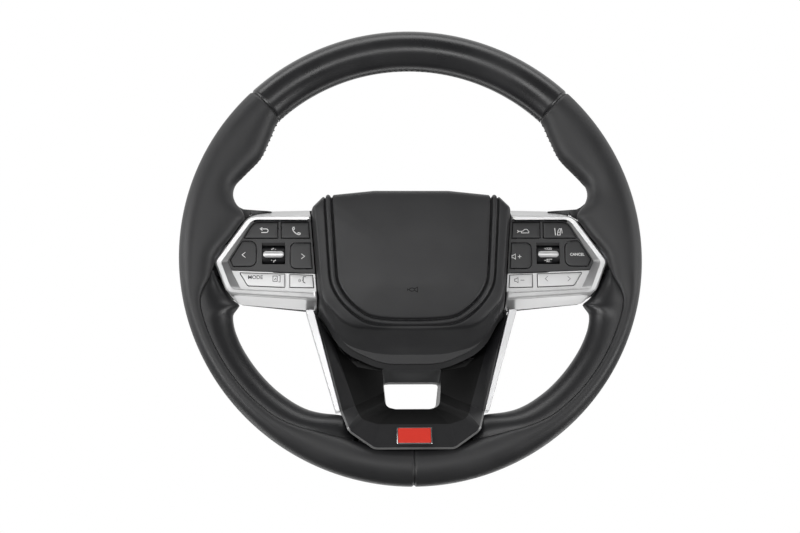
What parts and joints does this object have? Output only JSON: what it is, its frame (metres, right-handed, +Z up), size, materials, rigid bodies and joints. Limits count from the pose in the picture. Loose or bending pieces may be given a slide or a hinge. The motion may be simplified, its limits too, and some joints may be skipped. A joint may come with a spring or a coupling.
{
  "type": "car steering wheel",
  "caption": "Three-spoke car steering wheel with a leather rim, thumb switch clusters, a pressable airbag cover for the horn and a windowed lower spoke.",
  "frame": {"origin": "steering axis at the hub's rear face", "axes": "+Z up across the straight wheel, -Y towards the driver, +X to the driver's right; +Y runs along the steering shaft away from the driver"},
  "size_m": [0.3792, 0.0884, 0.3793],
  "materials": {
    "smooth_leather": "smooth, slightly shiny",
    "grained_leather": "fine grain, matte",
    "rim_foam": "moulded foam skin",
    "cast_alloy": "as cast",
    "steel": "zinc plated",
    "bright_steel": "plated",
    "black_trim": "satin",
    "satin_silver": "satin",
    "black_panel": "satin",
    "black_keys": "matte",
    "circuit_board": "coated",
    "silicone": "matte",
    "airbag_skin": "fine grain",
    "airbag_cloth": "folded cloth",
    "white_plastic": "smooth",
    "red_enamel": "glossy",
    "rear_plastic": "fine grain"
  },
  "bodies": {
    "wheel": {"armature": "cast_alloy", "rim_ring": "steel", "hub_insert": "steel", "rim_foam": "rim_foam", "grip_top": "smooth_leather", "grip_left": "grained_leather", "grip_right": "grained_leather", "inner_trim_left": "black_trim", "inner_trim_right": "black_trim", "bezel_left": "satin_silver", "bezel_right": "satin_silver", "switch_panel_left": "black_panel", "switch_panel_right": "black_panel", "lower_panel_left": "satin_silver", "lower_panel_right": "satin_silver", "switch_housing_left": "black_panel", "switch_housing_right": "black_panel", "switch_board_left": "circuit_board", "switch_board_right": "circuit_board", "dome_mat_left": "silicone", "dome_mat_right": "silicone", "horn_springs": "bright_steel", "horn_bushings": "white_plastic", "lower_spoke_cover": "black_trim", "lower_trim_left": "satin_silver", "lower_trim_right": "satin_silver", "spoke_plate": "red_enamel", "lower_rear_cover": "rear_plastic", "rear_cover": "rear_plastic", "rear_cover_screws": "steel"},
    "airbag_module": {"airbag_cover": "airbag_skin", "airbag_retainer": "steel", "airbag_cushion": "airbag_cloth", "inflator": "bright_steel", "inflator_nuts": "bright_steel", "horn_guide_pins": "bright_steel"},
    "back_key_body": {"back_key": "black_keys"},
    "phone_key_body": {"phone_key": "black_keys"},
    "previous_key_body": {"previous_key": "black_keys"},
    "next_key_body": {"next_key": "black_keys"},
    "voice_key_body": {"voice_key": "satin_silver"},
    "lane_key_body": {"lane_key": "black_keys"},
    "distance_key_body": {"distance_key": "black_keys"},
    "cancel_key_body": {"cancel_key": "black_keys"},
    "volume_up_key_body": {"volume_up_key": "black_keys"},
    "volume_down_key_body": {"volume_down_key": "satin_silver"},
    "mode_rocker_body": {"mode_rocker": "satin_silver"},
    "seek_rocker_body": {"seek_rocker": "satin_silver"},
    "roller_left_body": {"roller_left": "black_panel", "roller_bar_left": "satin_silver"},
    "roller_right_body": {"roller_right": "black_panel", "roller_bar_right": "satin_silver"}
  },
  "joints": [
    {"name": "horn_press", "type": "slide", "parent": "wheel", "child": "airbag_module", "axis": [0, 1, 0], "range_m": [0, 0.002], "stiffness_N_per_m": 9000, "deforming": ["horn_springs"]},
    {"name": "back_key_press", "type": "slide", "parent": "wheel", "child": "back_key_body", "axis": [0, 1, 0], "range_m": [0, 0.001], "stiffness_N_per_m": 1200},
    {"name": "phone_key_press", "type": "slide", "parent": "wheel", "child": "phone_key_body", "axis": [0, 1, 0], "range_m": [0, 0.001], "stiffness_N_per_m": 1200},
    {"name": "previous_key_press", "type": "slide", "parent": "wheel", "child": "previous_key_body", "axis": [0, 1, 0], "range_m": [0, 0.001], "stiffness_N_per_m": 1200},
    {"name": "next_key_press", "type": "slide", "parent": "wheel", "child": "next_key_body", "axis": [0, 1, 0], "range_m": [0, 0.001], "stiffness_N_per_m": 1200},
    {"name": "voice_key_press", "type": "slide", "parent": "wheel", "child": "voice_key_body", "axis": [0, 1, 0], "range_m": [0, 0.001], "stiffness_N_per_m": 1200},
    {"name": "lane_key_press", "type": "slide", "parent": "wheel", "child": "lane_key_body", "axis": [0, 1, 0], "range_m": [0, 0.001], "stiffness_N_per_m": 1200},
    {"name": "distance_key_press", "type": "slide", "parent": "wheel", "child": "distance_key_body", "axis": [0, 1, 0], "range_m": [0, 0.001], "stiffness_N_per_m": 1200},
    {"name": "cancel_key_press", "type": "slide", "parent": "wheel", "child": "cancel_key_body", "axis": [0, 1, 0], "range_m": [0, 0.001], "stiffness_N_per_m": 1200},
    {"name": "volume_up_key_press", "type": "slide", "parent": "wheel", "child": "volume_up_key_body", "axis": [0, 1, 0], "range_m": [0, 0.001], "stiffness_N_per_m": 1200},
    {"name": "volume_down_key_press", "type": "slide", "parent": "wheel", "child": "volume_down_key_body", "axis": [0, 1, 0], "range_m": [0, 0.001], "stiffness_N_per_m": 1200},
    {"name": "mode_rocker_tilt", "type": "hinge", "parent": "wheel", "child": "mode_rocker_body", "pos_m": [-0.1223, -0.061, -0.0207], "axis": [0, 0, 1], "range_deg": [-3, 3], "stiffness_Nm_per_rad": 0.35},
    {"name": "seek_rocker_tilt", "type": "hinge", "parent": "wheel", "child": "seek_rocker_body", "pos_m": [0.1223, -0.061, -0.0207], "axis": [0, 0, 1], "range_deg": [-3, 3], "stiffness_Nm_per_rad": 0.35},
    {"name": "roller_left_turn", "type": "hinge", "parent": "wheel", "child": "roller_left_body", "pos_m": [-0.11295, -0.0614, 0.0008], "axis": [1, 0, 0], "range_deg": [-12, 12], "stiffness_Nm_per_rad": 0.1},
    {"name": "roller_right_turn", "type": "hinge", "parent": "wheel", "child": "roller_right_body", "pos_m": [0.11295, -0.0614, 0.0008], "axis": [1, 0, 0], "range_deg": [-12, 12], "stiffness_Nm_per_rad": 0.1}
  ]
}
